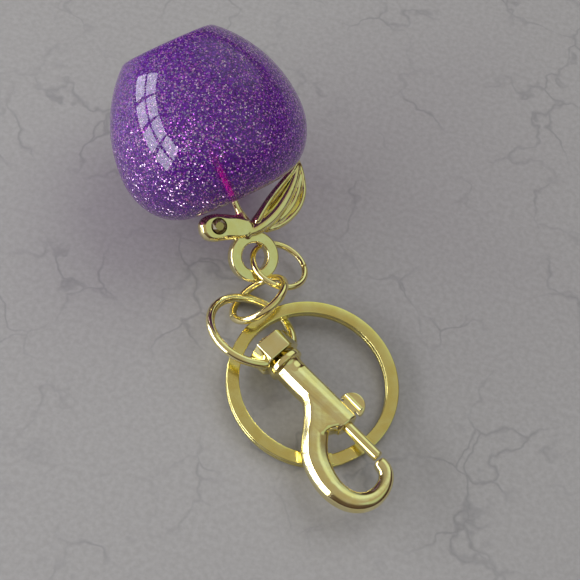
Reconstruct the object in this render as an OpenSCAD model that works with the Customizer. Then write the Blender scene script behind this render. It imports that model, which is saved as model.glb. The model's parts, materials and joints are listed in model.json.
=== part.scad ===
// Resin fruit charm on a swivel snap hook and a split key ring, lying on a table.
// Millimetres. Z = 0 is the table, and the origin is under the key ring's centre.

/* [Resin fruit] */
// Greatest diameter of the fruit
fruit_d = 33.8; // [32:0.2:35]
// Length from the stem end to the far end
fruit_l = 28.8; // [27:0.2:31]
// Distance of the widest place from the stem end
fruit_wide_at = 10.4; // [9:0.2:13]
// Diameter of the flat at the stem end
stem_flat_d = 16.8; // [14:0.2:18]
// Diameter of the flat poured face at the far end
far_flat_d = 16.4; // [14:0.2:18]
// Diameter of the hole drilled for the peg
peg_hole_d = 1.8; // [1.6:0.1:2.4]
// Depth of the hole drilled for the peg
peg_hole_depth = 12.5; // [9:0.5:16]

/* [Leaf stem] */
// Thickness of the casting at the eye
eye_t = 2; // [1.6:0.1:2.2]
// Outer diameter of the eye
eye_od = 8.4; // [8:0.1:8.6]
// Hole diameter of the eye
eye_id = 5; // [4.8:0.1:5.4]
// Diameter of the stone's lobe
lobe_d = 5.2; // [4.8:0.1:5.6]
// Diameter of the stone
stone_d = 3; // [2.6:0.1:3.4]
// Diameter of the wire peg
peg_d = 1; // [0.8:0.1:1.2]
// Length of the leaf
leaf_l = 13.4; // [12:0.2:14]
// Width of the leaf on the side of the fruit
leaf_near_w = 1.6; // [1.2:0.1:2]
// Width of the leaf on the side of the chain
leaf_far_w = 4.2; // [3.6:0.1:4.6]

/* [Jump rings] */
// Outer diameter of the small jump ring
small_ring_od = 11; // [10.8:0.1:11.1]
// Wire diameter of the small jump ring
small_wire_d = 1.12; // [1:0.02:1.12]
// Outer diameter of the large jump ring
large_ring_od = 12; // [11.8:0.1:12.1]
// Wire diameter of the large jump ring
large_wire_d = 1.36; // [1.2:0.02:1.36]
// Width of the cut in a jump ring
ring_cut = 0.12; // [0.06:0.02:0.3]

/* [Key ring] */
// Outer diameter of the key ring
key_ring_od = 30; // [29.8:0.1:30.2]
// Radial width of the key ring's flat wire
band_w = 2.2; // [2:0.05:2.4]
// Thickness of both turns together
band_t = 1.8; // [1.6:0.1:2]
// Gap between the two turns
turn_gap = 0.06; // [0.04:0.02:0.1]

/* [Swivel hook] */
// Diameter of the loop, measured between wire centres
loop_d = 15.1; // [15:0.05:15.2]
// Wire diameter of the loop
loop_wire_d = 1.44; // [1.3:0.02:1.44]
// Width of the collar across its flats
collar_w = 7.1; // [6.7:0.1:7.2]
// Length of the collar along the hook
collar_l = 3.7; // [3.5:0.1:3.9]
// Diameter of the flange
flange_d = 6.6; // [6.2:0.1:6.8]
// Diameter of the barrel
barrel_d = 4.4; // [4.2:0.1:4.6]
// Diameter of the sliding pin
pin_d = 2; // [1.8:0.05:2.1]
// Travel of the sliding pin
pin_travel = 6.4; // [5:0.1:6.6]
// Diameter of the hook's shank
shank_d = 4; // [3.6:0.1:4.2]
// Diameter of the hook's nose
nose_d = 2.7; // [2.4:0.1:2.9]

/* [Hidden] */

// Fits and small edges
slip = 0.05;       // radial clearance of a moving shaft
seat = 0.01;       // radial clearance of a fixed shaft
edge = 0.3;        // chamfer on a cast edge
eps = 0.05;        // overlap between shapes that are one solid
round_fn = 96;

// How the fruit lies: it rests on its side, with its stem end lowest
fruit_tilt = 30;
fruit_heading = 136.85;
stem_end_xy = [-21.09, 26.63];
peg_offset = -0.8;
fruit_r = fruit_d / 2;
stem_flat_r = stem_flat_d / 2;
far_flat_r = far_flat_d / 2;
shoulder_r = fruit_r - stem_flat_r;
stem_end_z = stem_flat_r * cos(fruit_tilt) - fruit_wide_at * sin(fruit_tilt)
    + norm([fruit_wide_at * sin(fruit_tilt), shoulder_r * cos(fruit_tilt)]);

// How the hook lies: it climbs a little towards its nose
hook_heading = -33.76;
hook_climb = 2.5;
collar_at = [-7.98, 2.77, 4.15];
swivel_roll = -22.5;
loop_back = 5.3;   // from the collar's centre to the loop's centre

// How the key ring lies: raised where it passes over the loop
key_tilt = 4.35;
key_raised_at = 142;

// Where each jump ring lies, and how far its axis leans from vertical, and towards where
small_ring_at = [-10.88, 19.4, 4.19];
small_ring_lean = 19.5;
small_ring_towards = 53.7;
large_ring_at = [-12.68, 11.53, 4.71];
large_ring_lean = 48.5;
large_ring_towards = 159.1;

// ---------- placing ----------

// The fruit's frame: Y runs up the fruit's axis from the centre of its stem end
module in_fruit_frame()
    translate([stem_end_xy[0], stem_end_xy[1], stem_end_z])
        rotate([0, 0, fruit_heading - 90])
            rotate([fruit_tilt, 0, 0])
                children();

// The hook's frame: X runs from the collar's centre along the barrel
module in_hook_frame()
    translate(collar_at)
        rotate([0, 0, hook_heading])
            rotate([0, -hook_climb, 0])
                children();

// The swivel eye turns about the hook's X axis
module in_swivel_frame()
    in_hook_frame()
        rotate([swivel_roll, 0, 0])
            children();

// A solid of revolution about X, from an outline in [distance along X, radius]
module turned(outline)
    rotate([0, 90, 0])
        rotate_extrude($fn = round_fn)
            polygon([for (p = outline) [p[1], p[0]]]);

// A solid of revolution about Y, from an outline in [distance along Y, radius]
module turned_about_y(outline)
    rotate([0, 0, 90])
        turned(outline);

// The same about the peg, which stands a little off the fruit's axis
module turned_about_peg(outline)
    translate([peg_offset, 0, 0])
        turned_about_y(outline);

// ---------- resin fruit ----------

// Rounded shoulder at the stem end, a quarter of an ellipse
function shoulder_points(n) = [
    for (i = [0 : n])
        let (q = 90 - 90 * i / n)
            [fruit_wide_at * (1 - sin(q)), stem_flat_r + shoulder_r * cos(q)]
];

// Flank from the widest place to the far flat, an arc
function flank_points(n) =
    let (
        run = fruit_l - fruit_wide_at,
        drop = fruit_r - far_flat_r,
        arc_r = (run * run + drop * drop) / (2 * drop),
        sweep = asin(run / arc_r)
    ) [
        for (i = [1 : n])
            let (q = sweep * i / n)
                [fruit_wide_at + arc_r * sin(q), fruit_r - arc_r * (1 - cos(q))]
    ];

module resin_body()
    color([0.38, 0.12, 0.62, 0.85])
        in_fruit_frame()
            difference() {
                turned_about_y(concat([[0, 0]], shoulder_points(16), flank_points(14), [[fruit_l, 0]]));
                turned_about_peg([[-1, 0], [-1, peg_hole_d / 2], [peg_hole_depth, peg_hole_d / 2],
                    [peg_hole_depth, 0]]);
            }

bead_d = 2.8;
bead_h = 0.35;
peg_in_resin = peg_hole_depth - 0.9;
peg_in_stem = 2.2;

// Glue around the peg, with a bead where the stem meets the resin
module peg_adhesive()
    color([0.85, 0.75, 0.9, 0.5])
        in_fruit_frame()
            turned_about_peg([
                [-bead_h, peg_d / 2 + seat],
                [-bead_h, bead_d / 2 - bead_h],
                [-seat, bead_d / 2],
                [-seat, peg_hole_d / 2 - seat],
                [peg_hole_depth - seat, peg_hole_d / 2 - seat],
                [peg_hole_depth - seat, 0],
                [peg_in_resin + seat, 0],
                [peg_in_resin + seat, peg_d / 2 + seat]
            ]);

module stem_peg()
    color("goldenrod")
        in_fruit_frame()
            turned_about_peg([
                [-peg_in_stem, 0],
                [-peg_in_stem, peg_d / 2],
                [peg_in_resin - edge, peg_d / 2],
                [peg_in_resin, peg_d / 2 - edge],
                [peg_in_resin, 0]
            ]);

// ---------- leaf stem ----------

lobe_at = [-5.75, -3.2];
lobe_t = 3;
eye_at = [-1.78, -10.58];
eye_drop = 0.25;
crotch_at = [-1, -5.6];
crotch_d = 3;
crotch_t = 2.6;
leaf_at = [2.1, -6.5];
leaf_angle = 31.5;
stem_w = 2.2;
stem_t = 2.2;
post_d = 1.7;
leaf_plate_t = 1;
rim_t = 1.8;
rim_w = 0.75;
vein_w = 0.6;
vein_t = 1.4;
midrib_t = 1.6;
vein_pitch = 2.8;

// A straight square-ended bar between two places on the casting's middle plane
module bar(a, b, w, t) {
    reach = b - a;
    translate([a[0], a[1], 0])
        rotate([0, 0, atan2(reach[1], reach[0])])
            translate([0, -w / 2, -t / 2])
                cube([norm(reach), w, t]);
}

// A side of the leaf is an arc. This is its height above the midrib at a distance from the base
function side_r(rise) = (leaf_l * leaf_l / 4 + rise * rise) / (2 * rise);
function side_height(rise, x) = sqrt(side_r(rise) ^ 2 - (x - leaf_l / 2) ^ 2) - side_r(rise) + rise;

// Leaf outline, drawn in by an inset on both sides, with a point at the base and the tip
module leaf_outline(inset) {
    steps = 14;
    from = inset * 1.6;
    run = leaf_l - 2 * from;
    near = [for (i = [0 : steps]) let (x = from + run * i / steps)
        [x, max(side_height(leaf_near_w, x) - inset, 0)]];
    far = [for (i = [steps - 1 : -1 : 1]) let (x = from + run * i / steps)
        [x, -max(side_height(leaf_far_w, x) - inset, 0)]];
    polygon(concat(near, far));
}

// A side vein leaves the midrib at a slant and ends inside the rim
module side_vein(from, rise, side) {
    to = from + 2.2;
    bar([from, 0], [to, side * (side_height(rise, to) - rim_w / 2)], vein_w, vein_t);
}

module leaf() {
    linear_extrude(height = leaf_plate_t, center = true)
        leaf_outline(rim_w / 2);
    linear_extrude(height = rim_t, center = true)
        difference() {
            leaf_outline(0);
            leaf_outline(rim_w);
        }
    bar([-1, 0], [leaf_l - 2, 0], vein_w * 1.5, midrib_t);
    for (i = [1 : 3])
        side_vein(vein_pitch * i - 0.6, leaf_far_w, -1);
}

// Ring with chamfered edges, its axis along Z
module cast_ring(od, id, t)
    rotate_extrude($fn = round_fn)
        polygon([
            [id / 2, -t / 2 + edge], [id / 2 + edge, -t / 2],
            [od / 2 - edge, -t / 2], [od / 2, -t / 2 + edge],
            [od / 2, t / 2 - edge], [od / 2 - edge, t / 2],
            [id / 2 + edge, t / 2], [id / 2, t / 2 - edge]
        ]);

module leaf_stem()
    color("gold")
        in_fruit_frame()
            difference() {
                union() {
                    translate([lobe_at[0], lobe_at[1], 0])
                        cylinder(d = lobe_d, h = lobe_t, center = true, $fn = 64);
                    translate([crotch_at[0], crotch_at[1], 0])
                        cylinder(d = crotch_d, h = crotch_t, center = true, $fn = 64);
                    bar(lobe_at, crotch_at, stem_w, stem_t);
                    bar(crotch_at, leaf_at + [0.8, 0.5], stem_w - 0.2, stem_t - 0.1);
                    bar(crotch_at, [eye_at[0], eye_at[1] + (eye_od + eye_id) / 4], stem_w, eye_t);
                    translate([eye_at[0], eye_at[1], -eye_drop])
                        cast_ring(eye_od, eye_id, eye_t);
                    turned_about_peg([[crotch_at[1], 0], [crotch_at[1], post_d / 2 + 0.15],
                        [-bead_h - seat, post_d / 2], [-bead_h - seat, 0]]);
                    translate([leaf_at[0], leaf_at[1], 0])
                        rotate([0, 0, leaf_angle])
                            leaf();
                }
                stone_shape(seat);
                turned_about_peg([[-peg_in_stem - seat, 0], [-peg_in_stem - seat, peg_d / 2 + seat],
                    [1, peg_d / 2 + seat], [1, 0]]);
            }

// Round stone: table, crown, girdle and pointed back, sunk in the lobe
module stone_shape(grow) {
    r = stone_d / 2 + grow;
    sink = lobe_t / 2 - 0.35;
    translate([lobe_at[0], lobe_at[1], sink])
        rotate_extrude($fn = 48)
            polygon([[0, -1.3 - grow], [r, -0.15 - grow], [r, grow], [r * 0.6, 0.5 + grow],
                [0, 0.5 + grow]]);
}

module rhinestone()
    color([0.55, 0.5, 0.4])
        in_fruit_frame()
            stone_shape(0);

// ---------- rings ----------

// Round wire ring with a cut. The cut is at this angle about the ring's own axis
module wire_ring(at, lean, towards, od, wire_d, cut_at) {
    centre_r = (od - wire_d) / 2;
    cut_angle = ring_cut / centre_r * 180 / PI;
    translate(at)
        rotate([0, lean, towards])
            rotate([0, 0, cut_at + cut_angle / 2])
                rotate_extrude(angle = 360 - cut_angle, $fn = round_fn)
                    translate([centre_r, 0])
                        circle(d = wire_d, $fn = 48);
}

module jump_ring_small()
    color("gold")
        wire_ring(small_ring_at, small_ring_lean, small_ring_towards, small_ring_od, small_wire_d, -30);

module jump_ring_large()
    color("gold")
        wire_ring(large_ring_at, large_ring_lean, large_ring_towards, large_ring_od, large_wire_d, 60);

key_cut_end = 298;   // where the upper turn ends
key_step_end = 317;  // where the step between the turns ends
band_edge = 0.15;

// Part of a turn of the flat wire, from one angle to the next, thinned all round by an inset
module band_turn(from, to, low, high, inset = 0) {
    inner = key_ring_od / 2 - band_w + inset;
    outer = key_ring_od / 2 - inset;
    bottom = low + inset;
    top = high - inset;
    rotate([0, 0, from])
        rotate_extrude(angle = to - from, $fn = 180)
            polygon([
                [inner + band_edge, bottom], [outer - band_edge, bottom],
                [outer, bottom + band_edge], [outer, top - band_edge],
                [outer - band_edge, top], [inner + band_edge, top],
                [inner, top - band_edge], [inner, bottom + band_edge]
            ]);
}

module key_ring() {
    turn_t = (band_t - turn_gap) / 2;
    mid_r = (key_ring_od - band_w) / 2;
    lowest_at = key_raised_at + 180;
    lowest = key_ring_od / 2 * [cos(lowest_at), sin(lowest_at), 0];
    step_mid = (key_cut_end + key_step_end) / 2;
    step_run = 2 * mid_r * sin((key_step_end - key_cut_end) / 2);
    step_slope = atan2(turn_t + turn_gap, step_run);
    color("gold")
        translate(lowest)
            rotate(a = key_tilt, v = [sin(key_raised_at), -cos(key_raised_at), 0])
                translate(-lowest) {
                    band_turn(key_step_end - 360, key_cut_end - 1, band_t - turn_t, band_t);
                    band_turn(key_step_end - 359, key_cut_end, 0, turn_t);
                    intersection() {
                        band_turn(key_cut_end - 1.5, key_step_end + 1.5, 0, band_t, 0.03);
                        rotate([0, 0, step_mid])
                            translate([mid_r, 0, band_t / 2])
                                rotate([step_slope, 0, 0])
                                    cube([band_w * 2, step_run * 1.4, turn_t * cos(step_slope)], center = true);
                    }
                }
}

// ---------- swivel eye and rivet ----------

// The collar reaches from collar_back to collar_front along the barrel's line
collar_back = -1.6;
collar_front = collar_back + collar_l;
rivet_head_d = 3.4;
rivet_head_h = 0.9;
rivet_d = 1.8;
recess_d = 5.2;
recess_depth = 1.1;
rivet_in_barrel = 4.6;
loop_end_angle = 30;

module swivel_eye() {
    loop_r = loop_d / 2;
    loop_end = [loop_r * cos(loop_end_angle) - loop_back, loop_r * sin(loop_end_angle)];
    color("gold")
        in_swivel_frame()
            difference() {
                union() {
                    translate([collar_back, 0, 0])
                        rotate([0, 90, 0])
                            cylinder(d = collar_w / cos(30), h = collar_l, $fn = 6);
                    translate([-loop_back, 0, 0])
                        rotate([0, 0, loop_end_angle])
                            rotate_extrude(angle = 360 - 2 * loop_end_angle, $fn = round_fn)
                                translate([loop_r, 0])
                                    circle(d = loop_wire_d, $fn = 48);
                    for (side = [1, -1])
                        translate([loop_end[0], side * loop_end[1], 0])
                            rotate([side * 90, 0, 0])
                                cylinder(d = loop_wire_d, h = loop_end[1] - collar_w / 2 + 0.6, $fn = 48);
                }
                turned([[-collar_l, 0], [-collar_l, rivet_d / 2 + slip], [collar_l, rivet_d / 2 + slip],
                    [collar_l, 0]]);
                turned([[collar_front - recess_depth, 0], [collar_front - recess_depth, recess_d / 2 - 0.4],
                    [collar_front + eps, recess_d / 2], [collar_front + eps, 0]]);
            }
}

module swivel_rivet()
    color("gold")
        in_hook_frame()
            turned([
                [collar_back - slip - rivet_head_h, 0],
                [collar_back - slip - rivet_head_h, rivet_head_d / 2 - edge],
                [collar_back - slip - rivet_head_h + edge, rivet_head_d / 2],
                [collar_back - slip, rivet_head_d / 2],
                [collar_back - slip, rivet_d / 2],
                [rivet_in_barrel, rivet_d / 2],
                [rivet_in_barrel, 0]
            ]);

// ---------- hook ----------

flange_from = 2.7;
flange_t = 1.2;
step_d = 5.3;
step_t = 0.6;
web_t = 3;
// The flat web that fills the fork between the barrel and the bend
web_outline = [[6.5, 0], [6.5, -2.5], [10.4, -2.7], [12.4, -3.6], [14, -5.2], [17, -3.9], [16.9, -2.6],
    [17.6, -1.2], [17.6, 0]];
barrel_end = 18.5;
spring_room_from = 4.8;
pin_tail = 14.2;
pin_tip = 25.9;
hook_turn_at = [25.5, -4.9];
hook_turn_r = 5.1;
shank_r = 10.6;
shank_start = 189;
nose_angle = 80;
step_turn = 5;     // how far one stretch of the hook runs inside the thicker one before it
neck_from = 14.9;
neck_l = 2.7;
neck_t = 1.2;
tab_roll = 15;

// Part of the hook's bend in its XY plane: a round bar along an arc
module bend(centre, r, from, to, d)
    translate([centre[0], centre[1], 0])
        rotate([0, 0, from])
            rotate_extrude(angle = to - from, $fn = round_fn)
                translate([r, 0])
                    circle(d = d, $fn = 48);

module hook_body() {
    low = hook_turn_at - [0, hook_turn_r];
    turn_d = (shank_d + nose_d) / 2;
    flange_to = flange_from + flange_t;
    color("gold")
        in_hook_frame()
            difference() {
                union() {
                    turned([
                        [flange_from, 0], [flange_from, flange_d / 2 - edge],
                        [flange_from + edge, flange_d / 2], [flange_to - edge, flange_d / 2],
                        [flange_to, flange_d / 2 - edge], [flange_to, step_d / 2],
                        [flange_to + step_t, step_d / 2 - 0.2], [flange_to + step_t, barrel_d / 2],
                        [barrel_end, barrel_d / 2], [barrel_end, 0]
                    ]);
                    linear_extrude(web_t, center = true)
                        polygon(web_outline);
                    bend(low + [0, shank_r], shank_r, shank_start, 270, shank_d);
                    bend(hook_turn_at, hook_turn_r, -90 - step_turn, 0, turn_d);
                    bend(hook_turn_at, hook_turn_r, -step_turn, nose_angle, nose_d);
                }
                turned([[0, 0], [0, rivet_d / 2 + seat], [spring_room_from, rivet_d / 2 + seat],
                    [spring_room_from, pin_d / 2 + slip], [pin_tip, pin_d / 2 + slip], [pin_tip, 0]]);
                rotate([tab_roll, 0, 0])
                    translate([neck_from - pin_travel - 0.1, 0, -neck_t / 2 - slip])
                        cube([neck_l + pin_travel + 0.2, barrel_d, neck_t + 2 * slip]);
            }
}

module plunger()
    color("gold")
        in_hook_frame()
            difference() {
                turned([
                    [pin_tail, 0], [pin_tail, pin_d / 2 - 0.15], [pin_tail + 0.15, pin_d / 2],
                    [pin_tip - edge, pin_d / 2], [pin_tip, pin_d / 2 - edge], [pin_tip, 0]
                ]);
                rotate([tab_roll, 0, 0])
                    translate([neck_from - seat, 0, -neck_t / 2 - seat])
                        cube([neck_l + 2 * seat, pin_d, neck_t + 2 * seat]);
            }

tab_r = 2.4;
tab_from = 2.75;
tab_t = 1.1;
ridge_d = 0.5;

// Half-round thumb piece on a neck that passes through the barrel's slot
module thumb_tab() {
    tab_mid = neck_from + neck_l / 2 - 0.25;
    color("gold")
        in_hook_frame()
            rotate([tab_roll, 0, 0])
                union() {
                    translate([neck_from, seat, -neck_t / 2])
                        cube([neck_l, tab_from + 0.5, neck_t]);
                    translate([tab_mid, tab_from, 0])
                        intersection() {
                            cylinder(r = tab_r, h = tab_t, center = true, $fn = 64);
                            translate([-tab_r, 0, -tab_t])
                                cube([2 * tab_r, tab_r, 2 * tab_t]);
                        }
                    translate([tab_mid - tab_r + 0.2, tab_from + 0.35, 0])
                        rotate([0, 90, 0])
                            cylinder(d = tab_t + ridge_d, h = 2 * tab_r - 0.4, $fn = 48);
                }
}

spring_wire_d = 0.28;
spring_turns = 9;

// Coil spring behind the pin, drawn as a stack of level turns
module spring() {
    from = spring_room_from + spring_wire_d;
    to = pin_tail - spring_wire_d;
    mid_r = (pin_d - spring_wire_d) / 2;
    color("silver")
        in_hook_frame()
            for (i = [0 : spring_turns - 1])
                translate([from + (to - from) * i / (spring_turns - 1), 0, 0])
                    rotate([0, 90, 0])
                        rotate_extrude($fn = 48)
                            translate([mid_r, 0])
                                circle(d = spring_wire_d, $fn = 16);
}

resin_body();
peg_adhesive();
stem_peg();
leaf_stem();
rhinestone();
jump_ring_small();
jump_ring_large();
key_ring();
swivel_eye();
swivel_rivet();
hook_body();
plunger();
thumb_tab();
spring();
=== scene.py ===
import json
import math

import bmesh
import bpy
from mathutils import Matrix, Vector


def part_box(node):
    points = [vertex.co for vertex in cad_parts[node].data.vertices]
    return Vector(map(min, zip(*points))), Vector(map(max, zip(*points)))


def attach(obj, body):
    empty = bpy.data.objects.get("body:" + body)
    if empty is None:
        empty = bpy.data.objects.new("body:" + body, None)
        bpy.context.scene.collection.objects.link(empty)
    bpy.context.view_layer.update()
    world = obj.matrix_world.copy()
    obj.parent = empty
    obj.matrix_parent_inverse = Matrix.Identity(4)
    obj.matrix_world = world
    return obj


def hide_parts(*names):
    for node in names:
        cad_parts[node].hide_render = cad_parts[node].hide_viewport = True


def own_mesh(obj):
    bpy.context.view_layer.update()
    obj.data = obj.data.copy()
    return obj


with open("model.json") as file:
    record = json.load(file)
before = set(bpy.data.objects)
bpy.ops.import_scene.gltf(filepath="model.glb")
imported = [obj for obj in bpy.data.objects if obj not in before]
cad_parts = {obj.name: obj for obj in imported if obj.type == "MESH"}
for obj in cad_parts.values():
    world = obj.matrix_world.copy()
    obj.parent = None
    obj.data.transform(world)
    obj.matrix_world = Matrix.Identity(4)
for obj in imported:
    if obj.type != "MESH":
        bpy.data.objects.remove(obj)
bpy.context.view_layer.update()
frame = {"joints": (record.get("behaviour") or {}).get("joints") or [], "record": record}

RECORD = frame["record"]
MM = 0.001


# ---------- frames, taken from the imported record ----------

def joint(name):
    return next(j for j in frame["joints"] if j["name"] == name)


def mount(name):
    return next(m for m in RECORD["mounts"] if m["name"] == name)


def local_frame(origin, x_axis, y_axis):
    """Matrix from a local frame in millimetres to the row's frame in metres."""
    x = Vector(x_axis).normalized()
    y = Vector(y_axis).normalized()
    turn = Matrix((x, y, x.cross(y))).transposed().to_4x4()
    return Matrix.Translation(Vector(origin)) @ turn @ Matrix.Scale(MM, 4)


def box_centre(node):
    low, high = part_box(node)
    return (low + high) / 2


UP = Vector((0, 0, 1))

# The hook's frame: X runs from the collar's centre along the barrel, Y is level
HOOK_X = Vector(joint("hook_swivel")["axis"])
HOOK = local_frame(joint("hook_swivel")["pos_m"], HOOK_X, UP.cross(HOOK_X))
SWIVEL_ROLL = math.radians(-22.5)
TAB_ROLL = math.radians(15)
SWIVEL = HOOK @ Matrix.Rotation(SWIVEL_ROLL, 4, "X")
TAB = HOOK @ Matrix.Rotation(TAB_ROLL, 4, "X")

# The fruit's frame: Y runs from the stem end to the poured face, X is level
FRUIT_L = 28.8
FRUIT_Y = Vector(mount("fruit_flat")["axis"])
PEG_X = -0.8        # the peg stands a little off the fruit's middle line
STEM_END = Vector(mount("fruit_flat")["pos_m"]) - FRUIT_Y * FRUIT_L * MM
FRUIT = local_frame(STEM_END, FRUIT_Y.cross(UP), FRUIT_Y)

# The split ring's frame: Z is the ring's axis, and the origin is in the middle of its thickness
RING_Z = Vector(joint("split_ring_spin")["axis"])
RING_TURN = UP.rotation_difference(RING_Z).to_matrix().to_4x4()
RING_AT = Vector(joint("split_ring_spin")["pos_m"])
RING = Matrix.Translation(RING_AT) @ RING_TURN @ Matrix.Scale(MM, 4)

# Fits between pieces, in millimetres
SEAT = 0.01         # radial clearance of a fixed shaft
SLIP = 0.05         # radial clearance of a moving shaft
POINT_R = 0.002     # stands for a radius of nothing


# ---------- drawing tools, in millimetres ----------

def arc(centre, radius, start, end, steps):
    """Points along an arc, with its angles in degrees."""
    points = []
    for i in range(steps + 1):
        a = math.radians(start + (end - start) * i / steps)
        points.append((centre[0] + radius * math.cos(a), centre[1] + radius * math.sin(a)))
    return points


def curve(controls, steps):
    """Smooth points through the control points (Catmull-Rom), for tuples of any length."""
    padded = [controls[0]] + list(controls) + [controls[-1]]
    points = []
    for i in range(1, len(padded) - 2):
        p0, p1, p2, p3 = (Vector(padded[i + k]) for k in (-1, 0, 1, 2))
        for s in range(steps):
            t = s / steps
            points.append(0.5 * (2 * p1 + (p2 - p0) * t + (2 * p0 - 5 * p1 + 4 * p2 - p3) * t * t
                                 + (3 * p1 - p0 - 3 * p2 + p3) * t ** 3))
    points.append(Vector(controls[-1]))
    return [tuple(p) for p in points]


def fillet(points, radius, steps=4, closed=False):
    """Rounds the corners of an outline. The ends of an open outline stay."""
    count = len(points)
    result = []
    for i, p in enumerate(points):
        if not closed and i in (0, count - 1):
            result.append(tuple(p))
            continue
        corner = Vector(p)
        before = Vector(points[i - 1]) - corner
        after = Vector(points[(i + 1) % count]) - corner
        a = corner + before.normalized() * min(radius, before.length * 0.45)
        b = corner + after.normalized() * min(radius, after.length * 0.45)
        for s in range(steps + 1):
            t = s / steps
            result.append(tuple(a * (1 - t) ** 2 + corner * 2 * t * (1 - t) + b * t * t))
    return result


def skin(rings, closed=False):
    """A skin over rings of equally many points, closed end to end or capped."""
    n = len(rings[0])
    verts = [tuple(p) for ring in rings for p in ring]
    faces = []
    for i in range(len(rings) if closed else len(rings) - 1):
        j = (i + 1) % len(rings)
        for k in range(n):
            m = (k + 1) % n
            faces.append((i * n + k, i * n + m, j * n + m, j * n + k))
    if not closed:
        faces.append(tuple(range(n - 1, -1, -1)))
        faces.append(tuple((len(rings) - 1) * n + k for k in range(n)))
    return verts, faces


def lathe(profile, sides=96):
    """Turned about X, from points of (distance along X, radius)."""
    rings = []
    for x, r in profile:
        r = max(r, POINT_R)
        ring = [(x, r * math.cos(a), r * math.sin(a))
                for a in (2 * math.pi * k / sides for k in range(sides))]
        rings.append(ring)
    return skin(rings)


def turned_z(profile, centre=(0, 0, 0), sides=96):
    """Turned about Z through a centre, from a closed outline of (radius, height)."""
    rings = []
    for k in range(sides):
        a = 2 * math.pi * k / sides
        rings.append([(centre[0] + r * math.cos(a), centre[1] + r * math.sin(a), centre[2] + z)
                      for r, z in profile])
    return skin(rings, closed=True)


def round_section(radius, sides=24):
    return arc((0, 0), radius, 0, 360 - 360 / sides, sides - 1)


def sweep(path, section, closed=False):
    """Sweeps section(i) along a path. Its points are (away to the left of the path, along Z)."""
    rings = []
    count = len(path)
    for i, p in enumerate(path):
        if closed:
            tangent = Vector(path[(i + 1) % count]) - Vector(path[i - 1])
        else:
            tangent = Vector(path[min(i + 1, count - 1)]) - Vector(path[max(i - 1, 0)])
        side = UP.cross(tangent).normalized()
        rings.append([Vector(p) + side * u + UP * v for u, v in section(i)])
    return skin(rings, closed)


def solid(name, *shells):
    """One object from several shells, in millimetres."""
    verts = []
    faces = []
    for shell_verts, shell_faces in shells:
        base = len(verts)
        verts += shell_verts
        faces += [tuple(base + i for i in f) for f in shell_faces]
    mesh = bpy.data.meshes.new(name)
    mesh.from_pydata(verts, [], faces)
    bm = bmesh.new()
    bm.from_mesh(mesh)
    bmesh.ops.remove_doubles(bm, verts=bm.verts, dist=0.001)
    bmesh.ops.recalc_face_normals(bm, faces=bm.faces)
    bm.to_mesh(mesh)
    bm.free()
    obj = bpy.data.objects.new(name, mesh)
    bpy.context.scene.collection.objects.link(obj)
    return obj


def bake(obj):
    """Applies the object's modifiers to its mesh."""
    bpy.context.view_layer.update()
    shape = obj.evaluated_get(bpy.context.evaluated_depsgraph_get())
    mesh = bpy.data.meshes.new_from_object(shape)
    obj.modifiers.clear()
    obj.data = mesh


def combine(obj, tool, operation):
    """Boolean of obj with tool. The tool is used up."""
    step = obj.modifiers.new("step", "BOOLEAN")
    step.operation = operation
    step.solver = "EXACT"
    step.object = tool
    bake(obj)
    bpy.data.objects.remove(tool)


def melt(obj, voxel, smoothing):
    """Makes overlapping shells one smooth casting."""
    step = obj.modifiers.new("step", "REMESH")
    step.mode = "VOXEL"
    step.voxel_size = voxel
    bake(obj)
    step = obj.modifiers.new("step", "SMOOTH")
    step.factor = 0.5
    step.iterations = smoothing
    bake(obj)


def block(name, low, high):
    """A box between two corners, as a cutting tool."""
    rings = [[(x, low[1], low[2]), (x, high[1], low[2]), (x, high[1], high[2]), (x, low[1], high[2])]
             for x in (low[0], high[0])]
    return solid(name, skin(rings))


def finish_piece(obj, place, body, nodes, material, sharp=38):
    """Puts a piece in its place in the row's frame, and says what it is and what it rides on."""
    obj.data.transform(place)
    obj.data.materials.clear()
    obj.data.materials.append(material)
    obj.data.polygons.foreach_set("use_smooth", [True] * len(obj.data.polygons))
    obj.data.set_sharp_from_angle(angle=math.radians(sharp))
    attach(obj, body)
    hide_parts(*nodes)
    return obj


# ---------- materials ----------

BLACK = (0, 0, 0)
WHITE = (1, 1, 1)


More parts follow.
